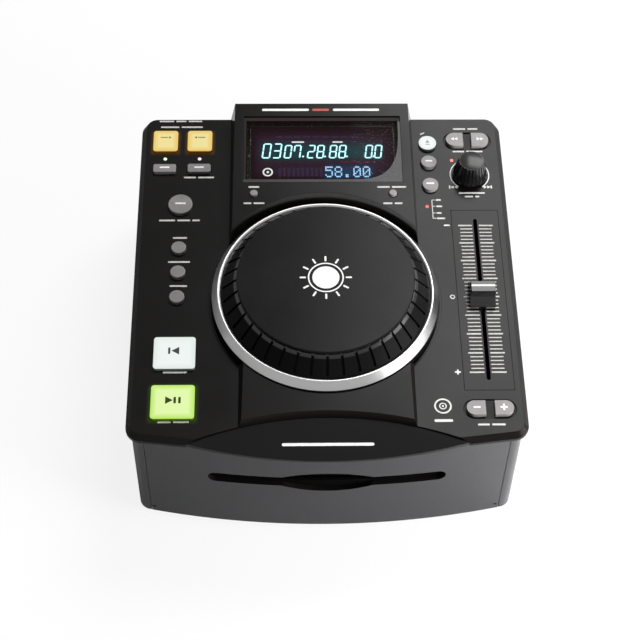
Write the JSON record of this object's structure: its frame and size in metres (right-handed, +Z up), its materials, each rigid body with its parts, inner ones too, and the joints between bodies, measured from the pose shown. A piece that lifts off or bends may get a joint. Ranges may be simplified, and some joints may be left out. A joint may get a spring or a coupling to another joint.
{
  "type": "tabletop disc player",
  "caption": "Tabletop disc player for mixing: jog wheel, pitch fader, lit keys and a tinted display over a curved front with a disc slot.",
  "frame": {"origin": "on the table, under the centre of the player's overall box", "axes": "+X to the right seen from the front, +Y to the back, +Z up"},
  "size_m": [0.22, 0.2402, 0.1067],
  "materials": {
    "black_abs": "satin moulded black",
    "housing_black": "satin moulded black",
    "fascia_black": "gloss black",
    "front_grey": "satin dark grey paint",
    "plate_grey": "satin dark grey paint",
    "foot_rubber": "black rubber",
    "screw_steel": "zinc plated",
    "window_tint": "tinted acrylic",
    "bezel_grey": "satin grey",
    "display_glass": "dark display tube on its board",
    "wheel_black": "satin moulded black",
    "plate_black": "fine textured black",
    "trim_silver": "turned and lacquered",
    "bush_bronze": "sintered bronze",
    "bright_steel": "ground steel",
    "inner_black": "moulded black",
    "key_grey": "satin grey",
    "key_amber": "lit amber",
    "key_white": "lit white",
    "key_green": "lit green",
    "light_red": "lit red",
    "knob_black": "black, fluted",
    "can_steel": "tinned steel",
    "board_green": "circuit board",
    "socket_black": "moulded black",
    "frame_steel": "zinc plated sheet",
    "roller_rubber": "black rubber on a steel shaft",
    "felt_black": "black felt"
  },
  "bodies": {
    "case": {"top_cover": "black_abs", "display_housing": "housing_black", "front_fascia": "fascia_black", "front_panel": "front_grey", "side_panels": "front_grey", "bottom_plate": "plate_grey", "rear_panel": "plate_grey", "feet": "foot_rubber", "case_screws": "screw_steel", "display_window": "window_tint", "display_bezel": "bezel_grey", "display_module": "display_glass", "jog_shaft": "bright_steel", "jog_carrier": "inner_black", "key_frames": "inner_black", "status_lights": "light_red", "encoder_body": "can_steel", "fader_body": "can_steel", "fader_plate": "black_abs", "control_boards": "board_green", "main_board": "board_green", "power_supply": "board_green", "rear_sockets": "socket_black", "drive_frame": "frame_steel", "guide_rods": "bright_steel", "drive_motors": "can_steel", "slot_felt": "felt_black"},
    "jog": {"jog_touch_plate": "plate_black", "jog_wheel": "wheel_black", "jog_trim_ring": "trim_silver", "jog_bush": "bush_bronze"},
    "loop_key_1": {"loop_key_1": "key_amber"},
    "loop_key_2": {"loop_key_2": "key_amber"},
    "clear_key": {"clear_key": "key_grey"},
    "exit_key": {"exit_key": "key_grey"},
    "tap_key": {"tap_key": "key_grey"},
    "effect_key_1": {"effect_key_1": "key_grey"},
    "effect_key_2": {"effect_key_2": "key_grey"},
    "effect_key_3": {"effect_key_3": "key_grey"},
    "cue_key": {"cue_key": "key_white"},
    "play_key": {"play_key": "key_green"},
    "time_key": {"time_key": "key_grey"},
    "continue_key": {"continue_key": "key_grey"},
    "eject_key": {"eject_key": "key_white"},
    "lock_key": {"lock_key": "key_grey"},
    "range_key": {"range_key": "key_grey"},
    "search_back_key": {"search_back_key": "key_grey"},
    "search_forward_key": {"search_forward_key": "key_grey"},
    "bend_minus_key": {"bend_minus_key": "key_grey"},
    "bend_plus_key": {"bend_plus_key": "key_grey"},
    "power_button": {"power_button": "socket_black"},
    "knob_push": {"encoder_shaft": "bright_steel"},
    "knob": {"parameter_knob": "knob_black"},
    "fader": {"fader_cap": "knob_black", "fader_carriage": "bright_steel"},
    "turntable": {"turntable": "inner_black"},
    "clamp_puck": {"clamp_puck": "inner_black"},
    "feed_roller": {"feed_roller": "roller_rubber"},
    "pickup_sled": {"pickup_sled": "inner_black"},
    "lead_screw": {"lead_screw": "bright_steel"}
  },
  "joints": [
    {"name": "jog_turn", "type": "hinge", "parent": "case", "child": "jog", "pos_m": [0, -0.017, 0.09], "axis": [0, 0, 1], "continuous": true},
    {"name": "loop_key_1_press", "type": "slide", "parent": "case", "child": "loop_key_1", "axis": [0, 0, -1], "range_m": [0, 0.0008], "stiffness_N_per_m": 600},
    {"name": "loop_key_2_press", "type": "slide", "parent": "case", "child": "loop_key_2", "axis": [0, 0, -1], "range_m": [0, 0.0008], "stiffness_N_per_m": 600},
    {"name": "clear_key_press", "type": "slide", "parent": "case", "child": "clear_key", "axis": [0, 0, -1], "range_m": [0, 0.0008], "stiffness_N_per_m": 600},
    {"name": "exit_key_press", "type": "slide", "parent": "case", "child": "exit_key", "axis": [0, 0, -1], "range_m": [0, 0.0008], "stiffness_N_per_m": 600},
    {"name": "tap_key_press", "type": "slide", "parent": "case", "child": "tap_key", "axis": [0, 0, -1], "range_m": [0, 0.0008], "stiffness_N_per_m": 600},
    {"name": "effect_key_1_press", "type": "slide", "parent": "case", "child": "effect_key_1", "axis": [0, 0, -1], "range_m": [0, 0.0008], "stiffness_N_per_m": 600},
    {"name": "effect_key_2_press", "type": "slide", "parent": "case", "child": "effect_key_2", "axis": [0, 0, -1], "range_m": [0, 0.0008], "stiffness_N_per_m": 600},
    {"name": "effect_key_3_press", "type": "slide", "parent": "case", "child": "effect_key_3", "axis": [0, 0, -1], "range_m": [0, 0.0008], "stiffness_N_per_m": 600},
    {"name": "cue_key_press", "type": "slide", "parent": "case", "child": "cue_key", "axis": [0, 0, -1], "range_m": [0, 0.0008], "stiffness_N_per_m": 600},
    {"name": "play_key_press", "type": "slide", "parent": "case", "child": "play_key", "axis": [0, 0, -1], "range_m": [0, 0.0008], "stiffness_N_per_m": 600},
    {"name": "time_key_press", "type": "slide", "parent": "case", "child": "time_key", "axis": [0, 0, -1], "range_m": [0, 0.0008], "stiffness_N_per_m": 600},
    {"name": "continue_key_press", "type": "slide", "parent": "case", "child": "continue_key", "axis": [0, 0, -1], "range_m": [0, 0.0008], "stiffness_N_per_m": 600},
    {"name": "eject_key_press", "type": "slide", "parent": "case", "child": "eject_key", "axis": [0, 0, -1], "range_m": [0, 0.0008], "stiffness_N_per_m": 600},
    {"name": "lock_key_press", "type": "slide", "parent": "case", "child": "lock_key", "axis": [0, 0, -1], "range_m": [0, 0.0008], "stiffness_N_per_m": 600},
    {"name": "range_key_press", "type": "slide", "parent": "case", "child": "range_key", "axis": [0, 0, -1], "range_m": [0, 0.0008], "stiffness_N_per_m": 600},
    {"name": "search_back_key_press", "type": "slide", "parent": "case", "child": "search_back_key", "axis": [0, 0, -1], "range_m": [0, 0.0008], "stiffness_N_per_m": 600},
    {"name": "search_forward_key_press", "type": "slide", "parent": "case", "child": "search_forward_key", "axis": [0, 0, -1], "range_m": [0, 0.0008], "stiffness_N_per_m": 600},
    {"name": "bend_minus_key_press", "type": "slide", "parent": "case", "child": "bend_minus_key", "axis": [0, 0, -1], "range_m": [0, 0.0008], "stiffness_N_per_m": 600},
    {"name": "bend_plus_key_press", "type": "slide", "parent": "case", "child": "bend_plus_key", "axis": [0, 0, -1], "range_m": [0, 0.0008], "stiffness_N_per_m": 600},
    {"name": "power_button_press", "type": "slide", "parent": "case", "child": "power_button", "axis": [0, -1, 0], "range_m": [0, 0.003], "stiffness_N_per_m": 400},
    {"name": "knob_press", "type": "slide", "parent": "case", "child": "knob_push", "axis": [0, 0, -1], "range_m": [0, 0.0006], "stiffness_N_per_m": 1500},
    {"name": "knob_turn", "type": "hinge", "parent": "knob_push", "child": "knob", "pos_m": [0.0889, 0.0743, 0.09], "axis": [0, 0, 1], "continuous": true},
    {"name": "fader_slide", "type": "slide", "parent": "case", "child": "fader", "axis": [0, 1, 0], "range_m": [-0.05, 0.05]},
    {"name": "turntable_spin", "type": "hinge", "parent": "case", "child": "turntable", "pos_m": [0, -0.0301, 0.045], "axis": [0, 0, 1], "continuous": true},
    {"name": "clamp_drop", "type": "slide", "parent": "case", "child": "clamp_puck", "axis": [0, 0, -1], "range_m": [0, 0.004], "stiffness_N_per_m": 300},
    {"name": "feed_roller_turn", "type": "hinge", "parent": "case", "child": "feed_roller", "pos_m": [0, -0.0999, 0.0439], "axis": [1, 0, 0], "continuous": true},
    {"name": "sled_slide", "type": "slide", "parent": "case", "child": "pickup_sled", "axis": [0, 1, 0], "range_m": [0, 0.034]},
    {"name": "lead_screw_turn", "type": "hinge", "parent": "case", "child": "lead_screw", "pos_m": [0.038, 0, 0.033], "axis": [0, 1, 0], "range_deg": [-5, 4090]}
  ],
  "couplings": [
    {"joint": "lead_screw_turn", "follows": "sled_slide", "rad_per_m": 2094.4}
  ]
}
